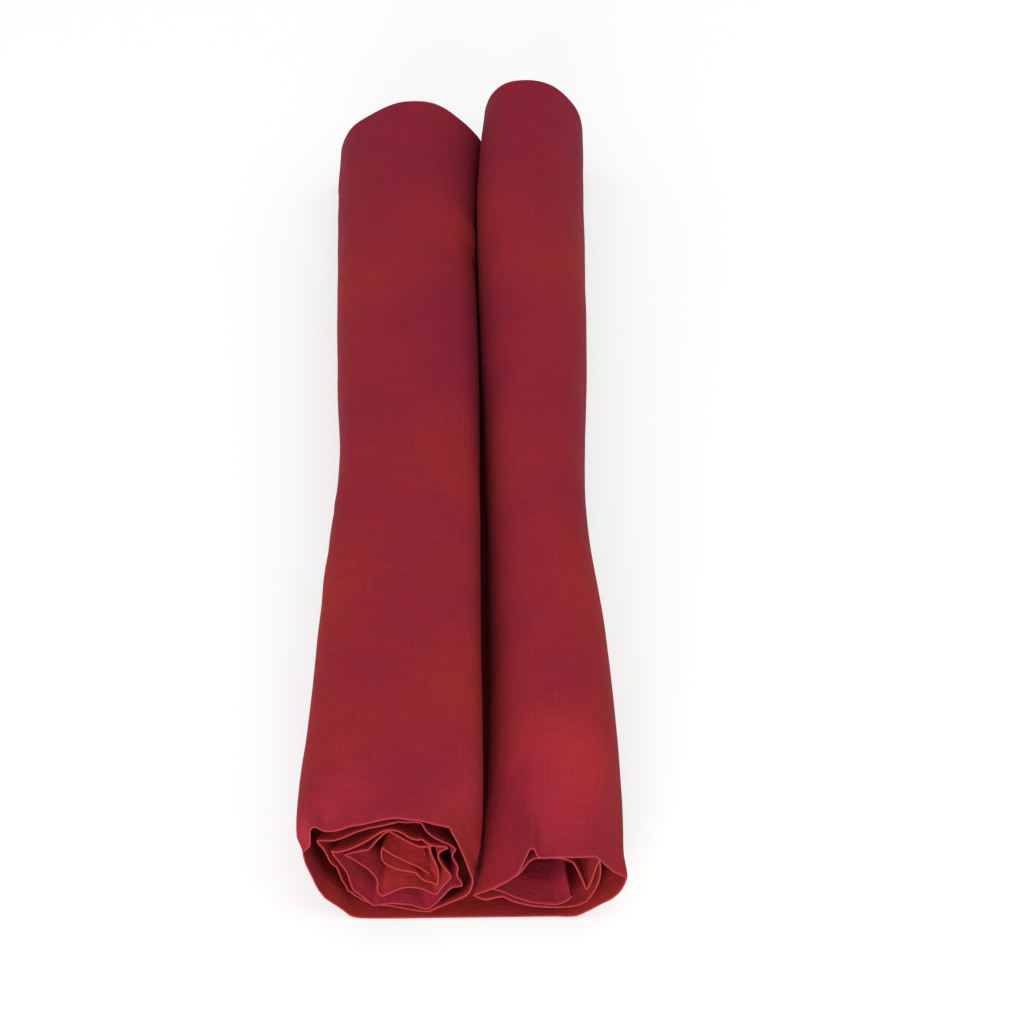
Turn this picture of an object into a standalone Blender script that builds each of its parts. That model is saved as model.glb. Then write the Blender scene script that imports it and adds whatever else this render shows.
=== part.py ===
"""A length of cotton cloth, folded once along its width and rolled up from both ends.

The two rolls lie side by side on the cloth that joins them. The folded edge of the cloth is at
the front (-Y) and its two selvedges are at the back (+Y). The origin is at the bottom centre of
both rolls together, +Z is up, and the rolls lie along Y.

The cloth is one sheet, so each solid below is a stretch of it, cut across at the bottom of a
turn. A stretch is as thick as the two layers of cloth and the air that lies between them. The
cloth under the rolls creases along the valley between them, and the right roll folds down and
under the left one about that crease.
"""

import math

import bmesh
import bpy
from mathutils import Matrix

# Cloth
LOOM_WIDTH = 1.120  # selvedge to selvedge, so that a roll is half as long
LOFT = 0.0020  # two layers of cloth and the air between them
CUT_GAP = 0.0003  # left between two stretches of the same cloth, where they meet

# Half of the width over both rolls, and how far from their front each width lies
FRONT_HALF_WIDTH = 0.0720  # loose at the folded edge
WAIST_HALF_WIDTH = 0.0610
BACK_HALF_WIDTH = 0.0665
FLARE_FROM_FRONT = 0.020  # the front width holds this far
WAIST_FROM_FRONT = 0.265

# The valley between the rolls, with the crease along its bottom
VALLEY_X = 0.0090
VALLEY_GAP = 0.0010

# Height of each roll at its front edge, behind that edge, at the waist and at the back
LEFT_HEIGHTS = (0.0595, 0.0610, 0.0570, 0.0550)
RIGHT_HEIGHTS = (0.0410, 0.0540, 0.0550, 0.0590)
DROOP_LENGTH = 0.070  # the open front edge sags over this length

# Air between one turn and the next: at its sides, and at its top and bottom
SIDE_AIR = 0.0035
UPRIGHT_AIR = 0.0017
STEP_IN_FROM = 0.65  # the share of a turn after which it steps inside the last one

# Whole turns of each roll, then the part of a turn that its loose end curls through
LEFT_TURNS = 4
RIGHT_TURNS = 2
CORE_TURN = 0.46
CORE_END_SHARE = 0.35  # size of the curl at its end, as a share of the hollow that it lies in

RIGHT_SLIP = 0.015  # the right roll runs out this much further at the back

SQUARENESS = 2.45  # exponent of the flattened outline: 2 is an ellipse

STEPS_PER_TURN = 28
STATION_COUNT = 9
STATION_CROWDING = 1.35  # over 1, the stations stand closer together towards the front

ROLL_LENGTH = LOOM_WIDTH / 2
FRONT_Y = -(ROLL_LENGTH + RIGHT_SLIP) / 2
SIDE_PITCH = LOFT + SIDE_AIR
UPRIGHT_PITCH = LOFT + UPRIGHT_AIR
SHARP_EDGE = math.radians(40)
TURN_NAMES = ("outer_turn", "second_turn", "third_turn", "fourth_turn")


def ease(t):
    """0 to 1 with a level start and a level end."""
    t = min(max(t, 0.0), 1.0)
    return t * t * (3 - 2 * t)


def mix(a, b, t):
    return a + (b - a) * t


def along(front, waist, back, y):
    """A size at y that changes smoothly from the front to the waist, and on to the back."""
    from_front = y - FRONT_Y
    if from_front < WAIST_FROM_FRONT:
        flare_length = WAIST_FROM_FRONT - FLARE_FROM_FRONT
        return mix(front, waist, ease((from_front - FLARE_FROM_FRONT) / flare_length))
    back_length = ROLL_LENGTH + RIGHT_SLIP - WAIST_FROM_FRONT
    return mix(waist, back, ease((from_front - WAIST_FROM_FRONT) / back_length))


class Roll:
    """One roll of the cloth. side is -1 for the left roll and 1 for the right one."""

    def __init__(self, name, side, turns, heights, length):
        self.name = name
        self.side = side
        self.turns = turns
        self.heights = heights
        self.length = length

    def outline(self, y):
        """(centre x, half width, half height) of the roll's section at y."""
        outer_x = self.side * along(FRONT_HALF_WIDTH, WAIST_HALF_WIDTH, BACK_HALF_WIDTH, y)
        inner_x = VALLEY_X + self.side * VALLEY_GAP / 2
        edge, front, waist, back = self.heights
        droop = (front - edge) * (1 - ease((y - FRONT_Y) / DROOP_LENGTH))
        height = along(front, waist, back, y) - droop
        return (outer_x + inner_x) / 2, abs(outer_x - inner_x) / 2, height / 2

    def point(self, y, turn, depth):
        """A point of the spiral at y, at this depth under the outer face of the cloth.

        turn counts from the bottom of the roll, by way of its outer side, top and valley side.
        """
        centre_x, half_wide, half_high = self.outline(y)
        whole = min(turn, self.turns)
        layers_outside = math.floor(whole) + ease((whole % 1 - STEP_IN_FROM) / (1 - STEP_IN_FROM))
        core = max(turn - self.turns, 0) / CORE_TURN
        size = mix(1, CORE_END_SHARE, core)
        wide = (half_wide - SIDE_PITCH * layers_outside) * size - depth
        high = (half_high - UPRIGHT_PITCH * layers_outside) * size - depth
        sine = math.sin(2 * math.pi * turn)
        cosine = math.cos(2 * math.pi * turn)
        outwards = math.copysign(abs(sine) ** (2 / SQUARENESS), sine)
        downwards = math.copysign(abs(cosine) ** (2 / SQUARENESS), cosine)
        return centre_x + self.side * wide * outwards, y, half_high - high * downwards

    def stations(self):
        """The places along Y where the roll's section is drawn."""
        shares = [i / (STATION_COUNT - 1) for i in range(STATION_COUNT)]
        return [FRONT_Y + self.length * share**STATION_CROWDING for share in shares]

    def cut_share(self):
        """Half a cut's width, as a share of the outermost turn."""
        _, half_wide, half_high = self.outline(FRONT_Y)
        return CUT_GAP / 2 / (math.pi * (half_wide + half_high))


def close_end(mesh, ring):
    """Closes the end of a strip, whose ring is the cloth's outer face and then its inner one."""
    last = len(ring) - 1
    for i in range(len(ring) // 2 - 1):
        mesh.faces.new((ring[i], ring[i + 1], ring[last - i - 1], ring[last - i]))


def add_piece(name, sections, material, crease):
    """One closed solid through a row of like sections, hung on the crease if there is one."""
    mesh = bmesh.new()
    rings = [[mesh.verts.new(point) for point in section] for section in sections]
    count = len(rings[0])
    for near, far in zip(rings, rings[1:]):
        for i in range(count):
            j = (i + 1) % count
            mesh.faces.new((near[i], near[j], far[j], far[i]))
    close_end(mesh, rings[0])
    close_end(mesh, rings[-1])
    bmesh.ops.recalc_face_normals(mesh, faces=mesh.faces)
    data = bpy.data.meshes.new(name)
    mesh.to_mesh(data)
    mesh.free()
    data.materials.append(material)
    data.shade_smooth()
    data.set_sharp_from_angle(angle=SHARP_EDGE)
    piece = bpy.data.objects.new(name, data)
    bpy.context.scene.collection.objects.link(piece)
    if crease:
        data.transform(Matrix.Translation(-crease.location))
        piece.parent = crease


def flat_cloth(roll):
    """Sections of the flat cloth from the crease to the bottom of the roll's outer turn."""
    inner_x = VALLEY_X + roll.side * CUT_GAP / 2
    sections = []
    for y in roll.stations():
        outer_x = roll.outline(y)[0] - roll.side * CUT_GAP / 2
        sections.append([(inner_x, y, 0), (outer_x, y, 0), (outer_x, y, LOFT), (inner_x, y, LOFT)])
    return sections


def rolled_cloth(roll, first, last):
    """Sections of the spiral from turn first to turn last."""
    steps = math.ceil(STEPS_PER_TURN * (last - first))
    cut = roll.cut_share()
    turns = [mix(first + cut, last - cut, i / steps) for i in range(steps + 1)]
    sections = []
    for y in roll.stations():
        outer_face = [roll.point(y, turn, 0) for turn in turns]
        inner_face = [roll.point(y, turn, LOFT) for turn in reversed(turns)]
        sections.append(outer_face + inner_face)
    return sections


def add_roll(roll, material, crease=None):
    add_piece(f"{roll.name}_flat_cloth", flat_cloth(roll), material, crease)
    for turn in range(roll.turns):
        sections = rolled_cloth(roll, turn, turn + 1)
        add_piece(f"{roll.name}_{TURN_NAMES[turn]}", sections, material, crease)
    core = rolled_cloth(roll, roll.turns, roll.turns + CORE_TURN)
    add_piece(f"{roll.name}_core_fold", core, material, crease)


def cotton():
    """Crisp plain-weave cotton, dyed a deep red."""
    material = bpy.data.materials.new("cotton")
    material.use_nodes = True
    shader = material.node_tree.nodes["Principled BSDF"]
    shader.inputs["Base Color"].default_value = (0.235, 0.016, 0.027, 1)
    shader.inputs["Roughness"].default_value = 0.9
    shader.inputs["Metallic"].default_value = 0.0
    return material


def main():
    for old in list(bpy.data.objects):
        bpy.data.objects.remove(old)
    crease = bpy.data.objects.new("valley_crease", None)
    crease.location = (VALLEY_X, 0, 0)
    bpy.context.scene.collection.objects.link(crease)
    material = cotton()
    add_roll(Roll("left", -1, LEFT_TURNS, LEFT_HEIGHTS, ROLL_LENGTH), material)
    add_roll(Roll("right", 1, RIGHT_TURNS, RIGHT_HEIGHTS, ROLL_LENGTH + RIGHT_SLIP), material, crease)


main()
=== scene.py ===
"""Looks of a length of shot cotton, folded once and rolled up from both ends.

The cloth is one sheet. It is folded in half, so that its fold is at the front (-Y) and its two
selvedges are at the back (+Y), and the doubled cloth is rolled up from its two cut ends. Each
roll is a surface through a row of spirals: the front one has the creases of the open end, and
behind it they settle into an even roll. Points are written in millimetres.
"""

import math

import bpy
import numpy as np
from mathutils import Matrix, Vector, noise


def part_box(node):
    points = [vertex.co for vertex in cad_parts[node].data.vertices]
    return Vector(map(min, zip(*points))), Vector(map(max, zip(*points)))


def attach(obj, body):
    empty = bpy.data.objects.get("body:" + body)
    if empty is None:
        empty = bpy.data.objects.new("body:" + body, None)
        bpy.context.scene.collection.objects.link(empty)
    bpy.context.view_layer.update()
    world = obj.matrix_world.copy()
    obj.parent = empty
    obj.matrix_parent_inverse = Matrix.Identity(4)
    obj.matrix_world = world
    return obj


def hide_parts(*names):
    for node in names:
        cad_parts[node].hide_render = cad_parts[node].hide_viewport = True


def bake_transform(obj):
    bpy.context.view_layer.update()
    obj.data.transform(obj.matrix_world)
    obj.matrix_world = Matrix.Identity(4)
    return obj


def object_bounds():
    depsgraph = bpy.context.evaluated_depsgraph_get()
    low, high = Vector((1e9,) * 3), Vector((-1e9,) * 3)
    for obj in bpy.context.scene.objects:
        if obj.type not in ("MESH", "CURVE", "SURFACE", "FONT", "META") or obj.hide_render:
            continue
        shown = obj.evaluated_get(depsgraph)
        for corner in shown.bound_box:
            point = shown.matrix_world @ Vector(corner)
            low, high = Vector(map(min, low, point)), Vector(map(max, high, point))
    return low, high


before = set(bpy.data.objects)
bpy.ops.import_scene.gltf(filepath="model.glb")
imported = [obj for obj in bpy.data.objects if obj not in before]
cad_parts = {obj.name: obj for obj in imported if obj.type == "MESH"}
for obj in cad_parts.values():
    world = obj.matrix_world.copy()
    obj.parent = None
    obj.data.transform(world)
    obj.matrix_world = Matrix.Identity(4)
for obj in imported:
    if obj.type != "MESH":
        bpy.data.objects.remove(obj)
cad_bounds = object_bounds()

MM = 0.001

# ---------------------------------------------------------------------------
# Sizes
# ---------------------------------------------------------------------------

LOOM_WIDTH = 1120.0  # selvedge to selvedge
FRONT_Y = cad_bounds[0][1] / MM
BACK_Y = cad_bounds[1][1] / MM
LEFT_BACK_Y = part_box("left_outer_turn")[1][1] / MM

# The doubled cloth: half the distance between the two layers, at the fold and further in
FOLD_RADIUS = 0.36
FOLD_ANGLES = (45, 90, 135)  # where the mesh has a row on the round of the fold, in degrees
LAYER_GAP = 0.42
PARTING_DEPTH = 30.0  # the layers part from one distance to the other over this length
BASE_LIFT = 0.45  # height of the middle of the doubled cloth above the surface it lies on

# Air between one turn and the next, with the doubled cloth: at the sides, and top and bottom
SIDE_PITCH = 5.3
UPRIGHT_PITCH = 3.6
STEP_IN_FROM = 0.62  # the share of a turn after which it steps inside the last one

# The loose end in each core: the part of a turn that it curls through, and its size at its end as
# a share of the hollow that it lies in
LEFT_CORE_TURN = 0.46
RIGHT_CORE_TURN = 0.12
CORE_END_SHARE = 0.35

# The sharp creases of the open end settle first into soft ones
CREASE_DEPTH = 20.0  # over this length
SOFT_SIZE = 4.0  # and a soft crease is about this wide

# Over 1, the outline of the front end holds for more of the length
BACK_SHAPE_POWER = 1.8

# The air between the two rolls along the valley, and how near the middle of it either one comes
VALLEY_GAP = 1.0
PRESSED_GAP = 0.7

# Distances behind the fold at which the creased end is drawn closely, then an even step
FRONT_STATIONS = (0.36, 1.0, 2.1, 3.8, 6.2, 9.2, 13, 18, 24, 31, 38.5, 46.5, 55)
EVEN_STEP = 7.6
JOINING_SAMPLES = 90
MEASURED_ROW = 20  # a row well behind the fold, where the cloth's length is read

# Places along Y, and what each roll measures there: x of the outer sides, x of the valley,
# height of the left roll and of the right one
ALONG = (-288, -258, -220, -167, -112, -54, -15, 40, 90, 177, 230, 288)
LEFT_X = (-71.2, -72.2, -70.2, -67.8, -65.3, -62.2, -60.9, -63.6, -65.0, -66.8, -67.3, -67.2)
RIGHT_X = (70.8, 71.4, 69.9, 67.9, 64.6, 61.0, 60.9, 62.8, 63.7, 65.4, 65.8, 67.0)
VALLEY_X = (9.4, 9.4, 9.3, 9.3, 9.4, 9.4, 9.2, 8.8, 8.2, 7.4, 8.2, 12.2)
LEFT_HEIGHT = (60.5, 61.0, 61.0, 60.0, 59.0, 58.0, 57.0, 57.0, 56.5, 56.0, 55.5, 54.5)
RIGHT_HEIGHT = (53.0, 54.0, 54.5, 55.0, 55.0, 55.0, 55.0, 56.0, 57.0, 58.5, 59.0, 59.0)

# Outlines of the rolls as shares of their width, from the valley, and of their height. Each
# starts at the middle of the underside and goes round by way of the outer side and the top.
LEFT_FRONT_OUTLINE = (
    (0.50, 0.0), (0.67, 0.005), (0.80, 0.08), (0.90, 0.23), (0.97, 0.44), (1.0, 0.68),
    (0.975, 0.87), (0.86, 0.96), (0.66, 0.99), (0.45, 1.0), (0.22, 0.985), (0.06, 0.93),
    (0.005, 0.78), (-0.01, 0.49), (0.005, 0.23), (0.04, 0.05), (0.15, 0.0),
)
LEFT_BACK_OUTLINE = (
    (0.50, 0.0), (0.75, 0.0), (0.91, 0.07), (0.985, 0.22), (1.0, 0.37), (0.972, 0.53),
    (0.908, 0.697), (0.78, 0.826), (0.64, 0.954), (0.53, 1.0), (0.38, 0.99), (0.27, 0.917),
    (0.18, 0.807), (0.08, 0.67), (0.0, 0.54), (-0.04, 0.42), (-0.04, 0.2), (0.04, 0.037),
    (0.217, 0.0),
)
RIGHT_FRONT_OUTLINE = (
    (0.50, 0.0), (0.73, 0.015), (0.875, 0.13), (0.971, 0.315), (1.0, 0.556), (0.971, 0.796),
    (0.859, 0.944), (0.65, 1.0), (0.425, 0.99), (0.233, 0.889), (0.104, 0.704),
    (0.024, 0.463), (0.0, 0.222), (0.04, 0.056), (0.2, 0.0),
)
RIGHT_BACK_OUTLINE = (
    (0.50, 0.0), (0.81, 0.0), (0.955, 0.068), (1.0, 0.203), (0.991, 0.44), (0.936, 0.644),
    (0.809, 0.814), (0.682, 0.932), (0.536, 0.988), (0.391, 1.0), (0.209, 0.975),
    (0.07, 0.86), (0.01, 0.74), (-0.03, 0.6), (-0.04, 0.42), (-0.04, 0.2), (0.02, 0.06),
    (0.173, 0.0),
)

# The folded edge of the cloth, turn by turn, as it lies at the front. A turn is a row of soft
# runs that meet at creases, and each run is a list of (x, z).
LEFT_EDGE = (
    (
        ((-32, 0), (-41, 0), (-46, 0.2), (-49, 1.2), (-50.5, 2.4)),
        ((-50.5, 2.4), (-53.5, 5.7), (-57.9, 9.9), (-60.4, 12.6)),
        ((-60.4, 12.6), (-63.4, 18.7), (-65, 24.5), (-66.6, 30), (-67.9, 35), (-68.4, 41)),
        ((-68.4, 41), (-66.8, 42.8), (-65.2, 45), (-65.4, 50), (-65.3, 54)),
        ((-65.3, 54), (-64.6, 56), (-62.9, 56.2), (-61.3, 54.4), (-59.3, 53.4), (-56.6, 53.4),
         (-52.9, 54.1), (-50, 55.7), (-46.6, 57.1), (-42.3, 57.8), (-39.5, 58.8), (-34.4, 60.5),
         (-30, 61.4), (-27.8, 61.6), (-22.9, 60.8), (-18.3, 60.7), (-15.4, 59.8), (-12.5, 58.5),
         (-8.6, 57.5), (-5.1, 56)),
        ((-5.1, 56), (-4.3, 53), (-2.9, 49.7), (-1.4, 45.6), (0, 40.7), (1.2, 36.5),
         (2.3, 32.5), (3.2, 28.7), (4.4, 25), (4.6, 21.5), (3.6, 17.5), (2.6, 15)),
        ((2.6, 15), (0.8, 13.1), (-1.5, 11.4), (-5.9, 8.5), (-8.8, 6.6), (-11.7, 4.8),
         (-14.5, 2.9)),
        ((-14.5, 2.9), (-18, 2.0), (-24, 1.8), (-32, 1.9)),
    ),
    (
        ((-32, 1.9), (-37, 2.4), (-42.4, 4.3), (-45.8, 6.9), (-48.6, 9.4), (-50.8, 11.8)),
        ((-50.8, 11.8), (-51.6, 15.2), (-53.2, 18.3), (-54.1, 22.9), (-55.1, 27.4)),
        ((-55.1, 27.4), (-57.4, 30.2), (-58.4, 34), (-59.5, 39.1), (-61.2, 42.5), (-62.6, 44.9)),
        ((-62.6, 44.9), (-58.2, 44.9), (-55.3, 45.1), (-52.7, 46.4), (-50, 48.1), (-46.6, 50.6),
         (-43.7, 51.9), (-40.8, 53.3), (-35, 54.6), (-29, 56.6), (-27.3, 57.2)),
        ((-27.3, 57.2), (-25.4, 56.4), (-20, 56.5), (-17.4, 55.5)),
        ((-17.4, 55.5), (-16.6, 53), (-15.4, 50.6), (-12.9, 48.2), (-10, 46.7), (-7.2, 44.8),
         (-4.3, 43.1), (-2.6, 40.8)),
        ((-2.6, 40.8), (-4.3, 37.4), (-4.1, 35.3), (-2.4, 32), (-1.6, 29.1), (-2.4, 25.8),
         (-1.8, 22.9), (0, 20.4), (-0.2, 18.2)),
        ((-0.2, 18.2), (-4.7, 17.6), (-6.3, 15.4), (-8.4, 12), (-11.2, 8), (-13.8, 5.4),
         (-15.2, 4.5)),
        ((-15.2, 4.5), (-17, 4.4), (-19.6, 5.6), (-22.3, 6.5), (-26.4, 6.9), (-31, 7)),
    ),
    (
        ((-31, 7), (-35.2, 6.4), (-39.4, 5.6)),
        ((-39.4, 5.6), (-41.9, 8.9), (-45, 12.3), (-47.8, 14.9)),
        ((-47.8, 14.9), (-49.4, 19.3), (-50.4, 25.3), (-51.9, 29), (-53.8, 32.7), (-55.8, 37.1),
         (-56.6, 39.3)),
        ((-56.6, 39.3), (-55, 38.6), (-51.3, 39.5), (-48.3, 41), (-45, 43), (-41.5, 45.7),
         (-38.1, 48.8), (-35.2, 51.2), (-32, 52.4), (-28.5, 52), (-25.3, 49.9)),
        ((-25.3, 49.9), (-23, 47.5), (-20.1, 46.1), (-17.2, 46.5)),
        ((-17.2, 46.5), (-15.8, 44.5), (-12.9, 42.7), (-10, 42.2), (-7.2, 42.2), (-6, 40.8)),
        ((-6, 40.8), (-8.6, 39.2), (-10.3, 37.5), (-10.1, 34.2), (-8.6, 30.5), (-7.2, 28),
         (-5.4, 25)),
        ((-5.4, 25), (-4.6, 22.5), (-6.4, 19.5), (-8.2, 16.5), (-9.6, 14)),
        ((-9.6, 14), (-10.3, 11.5), (-11.7, 10.4), (-14.6, 11.9), (-17.5, 14), (-20.5, 14.7),
         (-23.4, 15), (-26.4, 14.5)),
    ),
    (
        ((-26.4, 14.5), (-29.3, 13), (-32.2, 10.9), (-35.2, 9.4)),
        ((-35.2, 9.4), (-37.2, 11.3), (-37.7, 14.2), (-37.3, 18.4), (-38.4, 21.7),
         (-40.2, 24.5), (-41.5, 26.6), (-44.3, 29.1), (-47.1, 32), (-50, 34.4), (-51.4, 35.3)),
        ((-51.4, 35.3), (-47, 37.1), (-41.1, 38.6)),
        ((-41.1, 38.6), (-40, 39.8), (-38.2, 43.1), (-35.2, 47.2), (-33, 49.6), (-31.3, 49.9)),
        ((-31.3, 49.9), (-28.7, 47.6), (-25.9, 45.2), (-23, 43.1), (-20.1, 41.1), (-18.4, 40),
         (-15.5, 40.4), (-13.5, 40.6)),
        ((-13.5, 40.6), (-13.8, 37.7), (-12.6, 33.2), (-11.2, 29.1), (-10.3, 25.3),
         (-10.2, 20), (-10.8, 15.6)),
    ),
    (
        ((-10.8, 15.6), (-14.6, 17.3), (-16.7, 17.8), (-18.7, 20), (-20.4, 22.8)),
        ((-20.4, 22.8), (-23.4, 23.5), (-26.3, 23.8), (-29.2, 24.6), (-32, 26.1), (-34.4, 28.1),
         (-35.6, 31), (-35.8, 35), (-35, 38.3)),
        ((-35, 38.3), (-31.8, 35.3), (-29, 32.8), (-26.1, 30.7), (-23.2, 28.5), (-19.5, 26.1),
         (-14.6, 21.5)),
    ),
)
RIGHT_EDGE = (
    (
        ((41, 1.3), (46, 1.0), (50, 1.4)),
        ((50, 1.4), (53.6, 3.4), (57.4, 6.1), (61.1, 9), (64, 10.9), (66.3, 13), (68.6, 16.2),
         (70.3, 20.4), (71, 23.5), (71.4, 25.6)),
        ((71.4, 25.6), (68.1, 27.7), (65.7, 29.3), (63.2, 32.5), (60.8, 35.5), (58.4, 38.4)),
        ((58.4, 38.4), (57, 38.9), (54.7, 38.7), (49.9, 38.2), (45.3, 38), (39.8, 38.1),
         (36.6, 37.4), (34.4, 37.5), (32.4, 38.3), (31.9, 40.5), (31, 43)),
        ((31, 43), (29.7, 43.5), (28.6, 41.8), (26.9, 36.6), (25.1, 30.9), (23.7, 27.8),
         (21.9, 25.7), (19.8, 23.3), (15.8, 20.5), (12.9, 18.3), (8.2, 15.7), (4.9, 14)),
        ((4.9, 14), (7.8, 12.2), (10, 11), (12.2, 11.6), (14.5, 12.6), (17.7, 13)),
        ((17.7, 13), (21.8, 10.2), (24.7, 9), (28.4, 7.6), (31.3, 6.8), (35, 6.3), (41, 5.9)),
    ),
    (
        ((41, 5.9), (46, 4.9), (51, 4.8), (54.4, 6.4)),
        ((54.4, 6.4), (57.2, 11), (59.4, 17.5), (60.6, 24), (60.4, 31), (59.6, 34)),
        ((59.6, 34), (57.8, 30), (56.4, 22), (54.4, 15.2)),
        ((54.4, 15.2), (52.6, 21.5), (50.6, 27), (48.6, 31.8)),
        ((48.6, 31.8), (44, 34.6), (36, 35), (31, 34.6)),
        ((31, 34.6), (28.4, 32.5), (26.9, 29.6), (25.2, 26.6), (22.7, 23.8), (17.6, 19.6),
         (13, 16)),
        ((13, 16), (15.5, 15), (17.8, 14.3), (21.8, 11.6), (24.7, 10.3), (28.4, 8.9),
         (31.3, 8.1), (35, 7.5), (41, 7.3)),
    ),
    (
        ((41, 7.3), (44.3, 8.4), (46.2, 9.8), (47.6, 11.6), (48, 13)),
    ),
)

# Points of the mesh along each turn
LEFT_SAMPLES = (200, 150, 120, 95, 47)
RIGHT_SAMPLES = (180, 150, 14)

# Pairs of turn number and size: how far the fold lies behind the front there, and how far back
# its creases reach
LEFT_RECESS = (
    (0.0, 0.0), (0.84, 0.4), (0.92, 1.0), (1.0, 5.5), (1.1, 5.5), (1.3, 3.0), (1.5, 2.4),
    (1.57, 4.0), (1.62, 2.3), (1.8, 1.8), (1.93, 1.0), (2.0, 2.0), (2.3, 2.3), (2.5, 2.5),
    (2.8, 3.0), (2.93, 4.0), (3.6, 4.1), (4.0, 5.0), (4.5, 5.8), (5.0, 6.5),
)
LEFT_REACH = (
    (0.0, 46), (0.24, 46), (0.28, 10), (0.36, 12), (0.41, 40), (0.7, 40), (0.76, 20), (0.9, 20),
    (1.0, 60), (2.0, 85), (3.0, 95), (5.0, 110),
)
RIGHT_RECESS = (
    (0.0, 0.0), (0.9, 0.4), (1.0, 0.6), (1.08, 3.5), (1.3, 3.0), (1.6, 3.0), (1.85, 2.0),
    (2.0, 1.0), (3.0, 1.2),
)
RIGHT_REACH = ((0.0, 80), (0.7, 80), (1.0, 66), (2.0, 70), (3.0, 90))

# Pairs of turn number and share: behind the open end, the cloth draws in by this share of its
# distance from the core
LEFT_DRAWN_IN = (
    (0.0, 0.0), (0.06, 0.0), (0.12, 0.05), (0.25, 0.05), (0.31, 0.0), (1.0, 0.0), (1.2, 0.07),
    (2.0, 0.13), (3.0, 0.22), (4.0, 0.26), (5.0, 0.36),
)
RIGHT_DRAWN_IN = (
    (0.0, 0.0), (0.06, 0.0), (0.1, 0.03), (0.17, 0.03), (0.21, 0.0), (1.0, 0.0), (1.2, 0.08),
    (2.0, 0.15), (3.0, 0.15),
)

# (x, z) of that core, for the whole turns and for the tip of the loose end
LEFT_CORE = ((-27, 30), (-22, 46))
RIGHT_CORE = ((32, 22), (32, 22))
DRAWN_IN_DEPTH = 15.0  # the cloth draws in over this length

# Soft unevenness all over the cloth: (size, height). It is stretched along the rolls, and the
# cloth near the surface that it lies on stays flat
WAVES = ((45, 1.0), (17, 0.35))
WAVE_SQUEEZE = 0.6
FLAT_UP_TO = -1.0
UNEVEN_OVER = 6.0  # the height over which the unevenness comes in

# Creases on the upper side of the outer turns, seen from above: from (x, y) to (x, y), height
# (below zero it is a valley) and width
CREASES_ABOVE = 20
CREASES = (
    ((-52, -28), (-61, -52), 0.45, 2.4),
    ((-56, -32), (-64, -60), -0.4, 2.6),
    ((-58, -62), (-66, -88), 0.35, 2.4),
    ((-60, -95), (-68, -122), 0.3, 2.6),
    ((-50, 178), (-62, 238), 0.6, 4.0),
    ((-57, 190), (-66, 225), -0.6, 3.5),
    ((1, 196), (12, 188), -1.2, 4.5),
    ((4, 152), (12, 158), -1.0, 4.5),
    ((1, 175), (10, 172), 1.0, 7.0),
    ((1, -279), (6, -278), -0.9, 1.3),
    ((28, 187), (54, 189), 0.35, 3.0),
    ((28, 191), (54, 193), -0.35, 3.0),
)


# ---------------------------------------------------------------------------
# Curves
# ---------------------------------------------------------------------------

def ease(t):
    """0 to 1 with a level start and a level end."""
    t = np.clip(t, 0.0, 1.0)
    return t * t * (3 - 2 * t)


def mix(a, b, t):
    return a + (b - a) * t


def at(y, values):
    """One of the sizes along Y, read at y from a smooth curve through them."""
    slopes = np.gradient(values, ALONG)
    i = int(np.clip(np.searchsorted(ALONG, y) - 1, 0, len(ALONG) - 2))
    span = ALONG[i + 1] - ALONG[i]
    t = min(max((y - ALONG[i]) / span, 0.0), 1.0)
    start = values[i] + slopes[i] * span * t
    end = values[i + 1] - slopes[i + 1] * span * (1 - t)
    return mix(start, end, ease(t))


def softened(points, closed=False, passes=3):
    """A soft curve inside a row of points, which cuts each of its corners a few times."""
    curve = np.array(points, dtype=float)
    for _ in range(passes):
        ends = np.roll(curve, -1, axis=0) if closed else curve[1:]
        starts = curve if closed else curve[:-1]
        cut = np.stack((mix(starts, ends, 0.25), mix(starts, ends, 0.75)), axis=1).reshape(-1, 2)
        curve = cut if closed else np.concatenate((curve[:1], cut, curve[-1:]))
    return curve


def lengths_along(curve):
    steps = np.hypot(*np.diff(curve, axis=0).T)
    return np.concatenate(([0.0], np.cumsum(steps)))


def evenly(curve, shares):
    """Points of a curve at these shares of its length."""
    lengths = lengths_along(curve)
    places = np.asarray(shares) * lengths[-1]
    return np.stack([np.interp(places, lengths, curve[:, k]) for k in (0, 1)], axis=1)


UNDERSIDE_WEIGHT = 10  # keeps the start of an outline on its underside, and off its top


def outline_table(outline, count=400):
    """A closed outline at even steps of its length, from the middle of its underside."""
    curve = softened(outline, closed=True)
    off_start = np.abs(curve[:, 0] - 0.5) + UNDERSIDE_WEIGHT * curve[:, 1]
    curve = np.roll(curve, -np.argmin(off_start), axis=0)
    curve = np.concatenate((curve, curve[:1]))
    return evenly(curve, np.linspace(0, 1, count))


CALM_REACH = 3  # beyond this many sizes, a point has next to no weight


def calmed(curve, size):
    """The same curve with its creases smoothed over about this length, and its ends kept."""
    step = lengths_along(curve)[-1] / (len(curve) - 1)
    reach = math.ceil(CALM_REACH * size / step)
    weights = np.exp(-0.5 * (np.arange(-reach, reach + 1) * step / size) ** 2)
    before = 2 * curve[0] - curve[reach:0:-1]
    after = 2 * curve[-1] - curve[-2:-reach - 2:-1]
    padded = np.concatenate((before, curve, after))
    return np.stack([
        np.convolve(padded[:, k], weights / weights.sum(), "valid") for k in (0, 1)
    ], axis=1)


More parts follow.
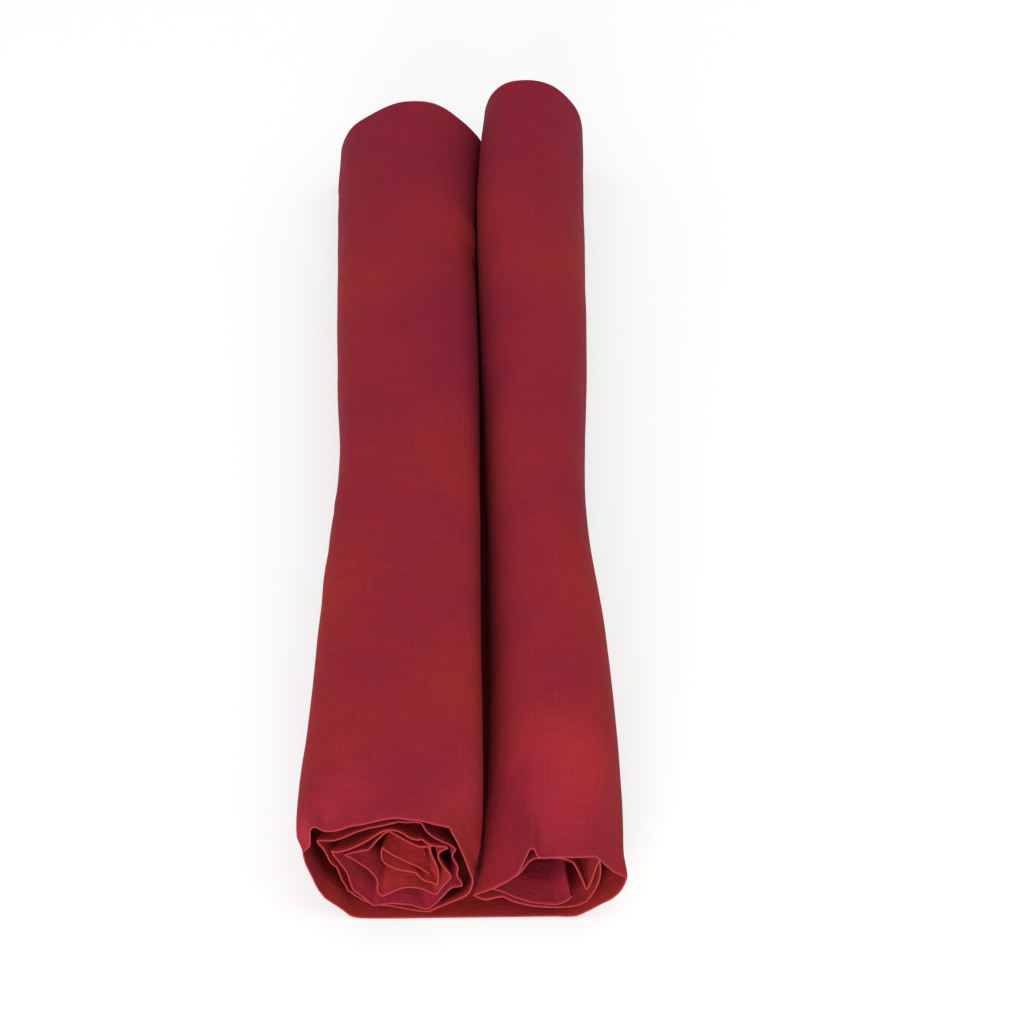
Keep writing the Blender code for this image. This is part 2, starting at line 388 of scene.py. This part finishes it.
def edge_curve(turns, samples):
    """Turn number and place of each sample along the folded edge."""
    numbers = []
    places = []
    for turn, (runs, count) in enumerate(zip(turns, samples)):
        curves = [softened(run) for run in runs]
        sizes = [lengths_along(curve)[-1] for curve in curves]
        ends = np.round(np.cumsum(sizes) / sum(sizes) * count).astype(int)
        starts = np.concatenate(([0], ends[:-1]))
        for curve, start, end in zip(curves, starts, ends):
            places.append(evenly(curve, np.arange(end - start) / (end - start)))
            numbers.append(turn + np.arange(start, end) / count)
    places.append(np.array([turns[-1][-1][-1]], dtype=float))
    numbers.append(np.array([float(len(turns))]))
    return np.concatenate(numbers), np.concatenate(places)


# ---------------------------------------------------------------------------
# Rolls
# ---------------------------------------------------------------------------

NEXT_TO_NOTHING = 1e-9  # keeps a division by a length from failing


class Roll:
    """One roll of the doubled cloth. side is -1 for the left roll and 1 for the right one.

    turn counts from the bottom of the roll, by way of its outer side, top and valley side.
    """

    def __init__(
        self, side, edge, samples, recess, reach, drawn_in, core, core_turn, outlines, outer_x,
        heights, back_y,
    ):
        self.side = side
        self.core_turn = core_turn
        self.turns = len(edge) - 1
        self.turn, self.edge = edge_curve(edge, samples)
        self.recess = np.interp(self.turn, *zip(*recess))
        self.reach = np.interp(self.turn, *zip(*reach))
        self.drawn_in = np.interp(self.turn, *zip(*drawn_in))
        self.core = np.stack([
            np.interp(self.turn, (self.turns, len(edge)), values) for values in zip(*core)
        ], axis=1)
        self.calm_edge = calmed(self.edge, SOFT_SIZE)
        self.outlines = [outline_table(outline) for outline in outlines]
        self.outer_x = outer_x
        self.heights = heights
        self.back_y = back_y

    def even_section(self, y):
        """The spiral at y where the creases of the front have settled."""
        valley = at(y, VALLEY_X) + self.side * VALLEY_GAP / 2
        width = self.side * (at(y, self.outer_x) - valley)
        height = at(y, self.heights)
        share = (y - FRONT_Y) / (BACK_Y - FRONT_Y)
        whole = np.minimum(self.turn, self.turns)
        layers = np.floor(whole) + ease((whole % 1 - STEP_IN_FROM) / (1 - STEP_IN_FROM))
        core = np.clip(self.turn - self.turns, 0, 1)
        place = (whole + core * self.core_turn) % 1
        size = mix(1.0, CORE_END_SHARE, core)
        steps = np.linspace(0, 1, len(self.outlines[0]))
        outline = mix(self.outlines[0], self.outlines[1], share**BACK_SHAPE_POWER)
        across = np.interp(place, steps, outline[:, 0]) - 0.5
        up = np.interp(place, steps, outline[:, 1]) - 0.5
        x = across * (width - 2 * SIDE_PITCH * layers) * size + 0.5 * width
        z = up * (height - 2 * UPRIGHT_PITCH * layers) * size + 0.5 * height
        return np.stack((valley + self.side * x, z), axis=1)

    def section(self, behind):
        """(x, y, z) of the middle of the doubled cloth, this far behind its fold."""
        length = self.back_y - FRONT_Y
        y = FRONT_Y + self.recess + behind * (length - self.recess) / length
        even = self.even_section(FRONT_Y + behind)
        edge = mix(self.edge, self.calm_edge, ease(behind / CREASE_DEPTH))
        drawn_in = self.drawn_in * ease(behind / DRAWN_IN_DEPTH)
        edge = mix(edge, self.core, drawn_in[:, None])
        settled = ease(behind / self.reach)[:, None]
        flat = mix(edge, even, settled)
        flat = flat + self.outwards(flat) * self.wrinkles(flat, y)[:, None]
        wall = at(FRONT_Y + behind, VALLEY_X) + self.side * PRESSED_GAP
        pressed = self.side * np.maximum(self.side * flat[:, 0], self.side * wall)
        flat[:, 0] = mix(flat[:, 0], pressed, settled[:, 0])
        return np.stack((flat[:, 0], y, flat[:, 1] + BASE_LIFT), axis=1)

    def outwards(self, flat):
        """The direction out of the roll at each point of a section."""
        along = np.gradient(flat, axis=0)
        along /= np.maximum(np.hypot(*along.T), NEXT_TO_NOTHING)[:, None]
        return self.side * np.stack((along[:, 1], -along[:, 0]), axis=1)

    def wrinkles(self, flat, y):
        """How far the cloth stands out or sinks in at each point of a section."""
        out = np.zeros(len(flat))
        for size, height in WAVES:
            for i, (x, z) in enumerate(flat):
                out[i] += height * noise.noise(Vector((x, WAVE_SQUEEZE * y[i], z)) / size)
        outer = (self.turn < 1) & (flat[:, 1] > CREASES_ABOVE)
        for start, end, height, width in CREASES:
            on_this_roll = (start[0] > VALLEY_X[0]) == (self.side > 0)
            if on_this_roll:
                away = distance_to(start, end, flat[:, 0], y)
                out += np.where(outer, height * np.exp(-((away / width) ** 2)), 0.0)
        return out * ease((flat[:, 1] - FLAT_UP_TO) / UNEVEN_OVER)


def distance_to(start, end, x, y):
    """Distance of each (x, y) from a straight line between two points."""
    step = np.subtract(end, start)
    share = ((x - start[0]) * step[0] + (y - start[1]) * step[1]) / (step @ step)
    share = np.clip(share, 0, 1)
    return np.hypot(x - start[0] - share * step[0], y - start[1] - share * step[1])


def stations(length):
    """Distances behind the fold: close together at the front, then evenly to the selvedges."""
    even_count = math.ceil((LOOM_WIDTH / 2 - FRONT_STATIONS[-1]) / EVEN_STEP)
    even = np.linspace(FRONT_STATIONS[-1], length, even_count + 1)[1:]
    return np.concatenate((FRONT_STATIONS, even))


def doubled_rows(roll):
    """Rows of points from the selvedge of the outer layer, round the fold, to the inner one."""
    behinds = stations(roll.back_y - FRONT_Y)
    outer = []
    inner = []
    for behind in behinds:
        middle = roll.section(behind)
        out = roll.outwards(middle[:, (0, 2)])
        gap = mix(FOLD_RADIUS, LAYER_GAP, ease(behind / PARTING_DEPTH))
        step = np.stack((out[:, 0], np.zeros(len(out)), out[:, 1]), axis=1) * gap
        outer.append(middle + step)
        inner.append(middle - step)
    middle = roll.section(behinds[0])
    out = roll.outwards(middle[:, (0, 2)])
    fold = []
    for degrees in FOLD_ANGLES:
        angle = math.radians(degrees)
        step = np.stack((
            out[:, 0] * math.cos(angle),
            np.full(len(out), -math.sin(angle)),
            out[:, 1] * math.cos(angle),
        ), axis=1) * FOLD_RADIUS
        fold.append(middle + step)
    rows = outer[::-1] + fold + inner
    half = LOOM_WIDTH / 2
    off_fold = behinds * half / (roll.back_y - FRONT_Y)
    across = np.concatenate((half - off_fold[::-1], [half] * len(fold), half + off_fold))
    return np.array(rows), across


def cloth_piece(name, rows, along, across, material):
    """A mesh through a grid of points in millimetres, with each point's place in the cloth."""
    row_count, count = rows.shape[:2]
    index = np.arange(row_count * count).reshape(row_count, count)
    corners = (index[:-1, :-1], index[:-1, 1:], index[1:, 1:], index[1:, :-1])
    faces = np.stack(corners, axis=-1).reshape(-1, 4)
    mesh = bpy.data.meshes.new(name)
    mesh.from_pydata((rows.reshape(-1, 3) * MM).tolist(), [], faces.tolist())
    places = np.zeros((row_count, count, 3))
    places[:, :, 0] = along
    places[:, :, 1] = across[:, None]
    attribute = mesh.attributes.new("cloth", "FLOAT_VECTOR", "POINT")
    attribute.data.foreach_set("vector", (places * MM).ravel())
    mesh.materials.append(material)
    mesh.shade_smooth()
    piece = bpy.data.objects.new(name, mesh)
    bpy.context.scene.collection.objects.link(piece)
    return piece


# ---------------------------------------------------------------------------
# Cloth
# ---------------------------------------------------------------------------

CRIMSON = "#761429"
BRICK = "#851f1f"
# The pale colour painted along the fold as a highlight, where the folded edges catch the light
FOLD_HIGHLIGHT = "#a4525c"
SHEEN = "#e08078"

# The material reads places on the cloth in metres, so its sizes are in metres too.

# Real yarns lie 0.3 mm apart: they are drawn 0.9 mm apart, so that they show
YARN_SPACING = 0.0009
YARN_TOP_HIGHLIGHT = 0.025  # painted light: how much lighter the tops of the yarns are painted, and darker the hollows between them
WEAVE_HEIGHT = 0.00002

# A slub is a few yarns wide and about 22 mm long
SLUB_WIDTH = 0.0010
SLUB_LENGTH = 0.022
SLUB_SPREAD = 0.3  # either side of 1, how far the sum of both noises mostly goes
SLUB_TONE = 0.08  # how much lighter or darker a slub is
SLUB_HEIGHT = 0.00012

# The two dyes show in patches about 140 mm wide
PATCHES = 7  # per metre
CRIMSON_UP_TO = 0.28
BRICK_FROM = 0.54
FOLD_TO_SELVEDGE = 0.3  # how much the dye shifts to crimson in a metre from the fold

# Crumples are about 17 mm wide
CRUMPLES = 60  # per metre
CRUMPLE_HEIGHT = 0.0012

# Painted highlight along the fold: how far it reaches from the fold, and how much of its colour is
# mixed in
FOLD_HIGHLIGHT_WIDTH = 0.0018
FOLD_HIGHLIGHT_SHARE = 0.08


def linear(hex_colour):
    """An sRGB hex colour as linear RGBA."""
    channels = [int(hex_colour[i:i + 2], 16) / 255 for i in (1, 3, 5)]
    return [c / 12.92 if c <= 0.04045 else ((c + 0.055) / 1.055) ** 2.4 for c in channels] + [1.0]


def add_node(tree, kind, links=(), **settings):
    """Adds one node: settings are its properties, or with in_ its sockets' values."""
    node = tree.nodes.new(kind)
    for key, value in settings.items():
        if key.startswith("in_"):
            socket = key[3:]
            node.inputs[int(socket) if socket.isdigit() else socket].default_value = value
        else:
            setattr(node, key, value)
    for source, socket in links:
        tree.links.new(source, node.inputs[socket])
    return node


def shot_cotton():
    """Plain-weave cotton, dyed in the yarn: crimson one way and brick red the other.

    It looks matt and crisp, and its red shifts from place to place as one yarn or the other shows.
    """
    material = bpy.data.materials.new("shot_cotton")
    material.use_nodes = True
    tree = material.node_tree
    shader = tree.nodes["Principled BSDF"]
    shader.inputs["Roughness"].default_value = 0.9
    shader.inputs["IOR"].default_value = 1.5
    shader.inputs["Specular IOR Level"].default_value = 0.11
    shader.inputs["Sheen Weight"].default_value = 0.02
    shader.inputs["Sheen Roughness"].default_value = 0.45
    shader.inputs["Sheen Tint"].default_value = linear(SHEEN)

    cloth = add_node(tree, "ShaderNodeAttribute", attribute_name="cloth")
    cloth = cloth.outputs["Vector"]

    # Dye: broad patches where one yarn or the other shows more
    patches = add_node(
        tree, "ShaderNodeTexNoise", [(cloth, "Vector")], in_Scale=PATCHES, in_Detail=2.0,
        in_Roughness=0.5,
    )
    split = add_node(tree, "ShaderNodeSeparateXYZ", [(cloth, "Vector")])
    off_fold = add_node(
        tree, "ShaderNodeMath", [(split.outputs["Y"], 0)], operation="SUBTRACT",
        in_1=LOOM_WIDTH / 2 * MM,
    )
    off_fold = add_node(
        tree, "ShaderNodeMath", [(off_fold.outputs["Value"], 0)], operation="ABSOLUTE",
    )
    dye = add_node(
        tree, "ShaderNodeMath", [(off_fold.outputs["Value"], 0), (patches.outputs["Fac"], 2)],
        operation="MULTIPLY_ADD", in_1=-FOLD_TO_SELVEDGE,
    )
    shade = add_node(tree, "ShaderNodeValToRGB", [(dye.outputs["Value"], "Fac")])
    shade.color_ramp.elements[0].position = CRIMSON_UP_TO
    shade.color_ramp.elements[0].color = linear(CRIMSON)
    shade.color_ramp.elements[1].position = BRICK_FROM
    shade.color_ramp.elements[1].color = linear(BRICK)

    # Slubs: yarns that are thicker or thinner for a stretch, in both directions
    slubs = []
    for stretch in ((1 / SLUB_WIDTH, 1 / SLUB_LENGTH, 1), (1 / SLUB_LENGTH, 1 / SLUB_WIDTH, 1)):
        stretched = add_node(
            tree, "ShaderNodeVectorMath", [(cloth, 0)], operation="MULTIPLY", in_1=stretch,
        )
        slubs.append(add_node(
            tree, "ShaderNodeTexNoise", [(stretched.outputs["Vector"], "Vector")], in_Scale=1.0,
            in_Detail=1.0,
        ).outputs["Fac"])
    slub = add_node(tree, "ShaderNodeMath", [(slubs[0], 0), (slubs[1], 1)], operation="ADD")
    slub_tone = add_node(tree, "ShaderNodeMapRange", [(slub.outputs["Value"], "Value")])
    slub_tone.inputs["From Min"].default_value = 1 - SLUB_SPREAD
    slub_tone.inputs["From Max"].default_value = 1 + SLUB_SPREAD
    slub_tone.inputs["To Min"].default_value = 1 - SLUB_TONE
    slub_tone.inputs["To Max"].default_value = 1 + SLUB_TONE

    # Weave: one yarn over the next, in turn
    half_waves = []
    for axis in ("X", "Y"):
        phase = add_node(
            tree, "ShaderNodeMath", [(split.outputs[axis], 0)], operation="MULTIPLY",
            in_1=math.pi / YARN_SPACING,
        )
        half_waves.append(add_node(
            tree, "ShaderNodeMath", [(phase.outputs["Value"], 0)], operation="SINE",
        ).outputs["Value"])
    weave = add_node(
        tree, "ShaderNodeMath", [(half_waves[0], 0), (half_waves[1], 1)], operation="MULTIPLY",
    )
    # Painted light and shade of the weave: the tops of the yarns a little lighter and the hollows
    # between them darker, on top of the slubs' own tone
    tone = add_node(
        tree, "ShaderNodeMath", [(weave.outputs["Value"], 0), (slub_tone.outputs["Result"], 2)],
        operation="MULTIPLY_ADD", in_1=YARN_TOP_HIGHLIGHT,
    )
    colour = add_node(
        tree, "ShaderNodeVectorMath",
        [(shade.outputs["Color"], 0), (tone.outputs["Value"], "Scale")], operation="SCALE",
    )

    # Painted highlight: the colour is made a little paler right along the fold, where the folded
    # edges catch the light. Sockets 6 and 7 of a Mix node are its two colours, and output 2 is the
    # mixed one
    fold_highlight_mask = add_node(
        tree, "ShaderNodeMapRange", [(off_fold.outputs["Value"], "Value")],
        interpolation_type="SMOOTHSTEP",
    )
    fold_highlight_mask.inputs["From Min"].default_value = 0.0
    fold_highlight_mask.inputs["From Max"].default_value = FOLD_HIGHLIGHT_WIDTH
    fold_highlight_mask.inputs["To Min"].default_value = FOLD_HIGHLIGHT_SHARE
    fold_highlight_mask.inputs["To Max"].default_value = 0.0
    fold_highlighted = add_node(
        tree, "ShaderNodeMix", [(fold_highlight_mask.outputs["Result"], 0), (colour.outputs["Vector"], 6)],
        data_type="RGBA", in_7=linear(FOLD_HIGHLIGHT),
    )
    tree.links.new(fold_highlighted.outputs[2], shader.inputs["Base Color"])

    # Bump: crumpled cloth, slubs and weave
    crumple = add_node(
        tree, "ShaderNodeTexNoise", [(cloth, "Vector")], in_Scale=CRUMPLES, in_Detail=3.0,
        in_Roughness=0.55,
    )
    crumpled = add_node(
        tree, "ShaderNodeBump", [(crumple.outputs["Fac"], "Height")], in_Strength=1.0,
        in_Distance=CRUMPLE_HEIGHT,
    )
    slubbed = add_node(
        tree, "ShaderNodeBump",
        [(slub.outputs["Value"], "Height"), (crumpled.outputs["Normal"], "Normal")],
        in_Strength=1.0, in_Distance=SLUB_HEIGHT,
    )
    woven = add_node(
        tree, "ShaderNodeBump",
        [(weave.outputs["Value"], "Height"), (slubbed.outputs["Normal"], "Normal")],
        in_Strength=1.0, in_Distance=WEAVE_HEIGHT,
    )
    tree.links.new(woven.outputs["Normal"], shader.inputs["Normal"])
    return material


def joining_rows(left_rows, right_rows):
    """Rows of the flat cloth between the undersides of the two rolls."""
    shares = np.linspace(0, 1, JOINING_SAMPLES)[None, :, None]
    return mix(left_rows[:, :1], right_rows[:, :1], shares)


def make_cloth():
    cotton = shot_cotton()
    left = Roll(
        -1, LEFT_EDGE, LEFT_SAMPLES, LEFT_RECESS, LEFT_REACH, LEFT_DRAWN_IN, LEFT_CORE,
        LEFT_CORE_TURN, (LEFT_FRONT_OUTLINE, LEFT_BACK_OUTLINE), LEFT_X, LEFT_HEIGHT, LEFT_BACK_Y,
    )
    right = Roll(
        1, RIGHT_EDGE, RIGHT_SAMPLES, RIGHT_RECESS, RIGHT_REACH, RIGHT_DRAWN_IN, RIGHT_CORE,
        RIGHT_CORE_TURN, (RIGHT_FRONT_OUTLINE, RIGHT_BACK_OUTLINE), RIGHT_X, RIGHT_HEIGHT, BACK_Y,
    )
    left_rows, left_across = doubled_rows(left)
    right_rows, right_across = doubled_rows(right)
    joining = joining_rows(left_rows, right_rows)
    pieces = []
    for name, rows, across in (
        ("left_rolled_cloth", left_rows, left_across),
        ("joining_cloth", joining, left_across),
        ("right_rolled_cloth", right_rows, right_across),
    ):
        along = lengths_along(rows[MEASURED_ROW][:, (0, 2)])
        piece = cloth_piece(name, rows, along, across, cotton)
        pieces.append(piece)
    left_cloth, joining_cloth, right_cloth = pieces
    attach(left_cloth, "left_roll")
    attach(right_cloth, "right_roll")
    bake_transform(joining_cloth)
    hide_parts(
        "left_outer_turn", "left_second_turn", "left_third_turn",
        "left_fourth_turn", "left_core_fold",
    )
    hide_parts("right_outer_turn", "right_second_turn", "right_core_fold")
    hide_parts("left_flat_cloth", "right_flat_cloth")


make_cloth()


# ---------------------------------------------------------------------------
# Studio
# ---------------------------------------------------------------------------

# Metres, degrees and watts, with the lens and the sensor in millimetres
CAMERA_PLACE = (0, -1.3765, 1.1579)
CAMERA_TILT = 49.71  # up from straight down
LENS = 126.3
SENSOR_WIDTH = 36
SIDE_SHIFT = 0.0483  # puts the rolls a little left of the middle
FLOOR_REACH = 4.0
FLOOR_TONE = 0.95
FLOOR_ALPHA = 0.35
WORLD_STRENGTH = 0.92

# Name, place, point that it is aimed at, diameter and power
SOFTBOXES = (
    ("key_softbox", (0.65, -0.3, 1.6), (0, 0, 0), 2.2, 8),
    ("front_softbox", (-0.25, -1.9, 0.3), (0, -0.25, 0.03), 1.2, 58),
)


def make_camera():
    data = bpy.data.cameras.new("camera")
    data.lens = LENS
    data.sensor_width = SENSOR_WIDTH
    data.shift_x = SIDE_SHIFT
    camera = bpy.data.objects.new("camera", data)
    camera.location = CAMERA_PLACE
    camera.rotation_euler = (math.radians(CAMERA_TILT), 0, 0)
    bpy.context.scene.collection.objects.link(camera)
    bpy.context.scene.camera = camera


def pale_floor():
    """Matt white paper. It is partly see-through, so that the right roll shows below it too."""
    material = bpy.data.materials.new("pale_floor")
    material.use_nodes = True
    shader = material.node_tree.nodes["Principled BSDF"]
    shader.inputs["Base Color"].default_value = (FLOOR_TONE, FLOOR_TONE, FLOOR_TONE, 1)
    shader.inputs["Alpha"].default_value = FLOOR_ALPHA
    shader.inputs["Roughness"].default_value = 0.9
    return material


def make_floor():
    mesh = bpy.data.meshes.new("floor")
    sides = ((-1, -1), (1, -1), (1, 1), (-1, 1))
    corners = [(x * FLOOR_REACH, y * FLOOR_REACH, 0) for x, y in sides]
    mesh.from_pydata(corners, [], [(0, 1, 2, 3)])
    mesh.materials.append(pale_floor())
    floor = bpy.data.objects.new("floor", mesh)
    bpy.context.scene.collection.objects.link(floor)


def make_softbox(name, place, aim, size, power):
    data = bpy.data.lights.new(name, "AREA")
    data.shape = "DISK"
    data.size = size
    data.energy = power
    light = bpy.data.objects.new(name, data)
    light.location = place
    light.rotation_euler = (Vector(aim) - Vector(place)).to_track_quat("-Z", "Y").to_euler()
    bpy.context.scene.collection.objects.link(light)


def make_light():
    world = bpy.data.worlds.new("studio")
    world.use_nodes = True
    background = world.node_tree.nodes["Background"]
    background.inputs["Color"].default_value = (1, 1, 1, 1)
    background.inputs["Strength"].default_value = WORLD_STRENGTH
    bpy.context.scene.world = world
    for softbox in SOFTBOXES:
        make_softbox(*softbox)
    bpy.context.scene.view_settings.view_transform = "Standard"


make_camera()
make_floor()
make_light()
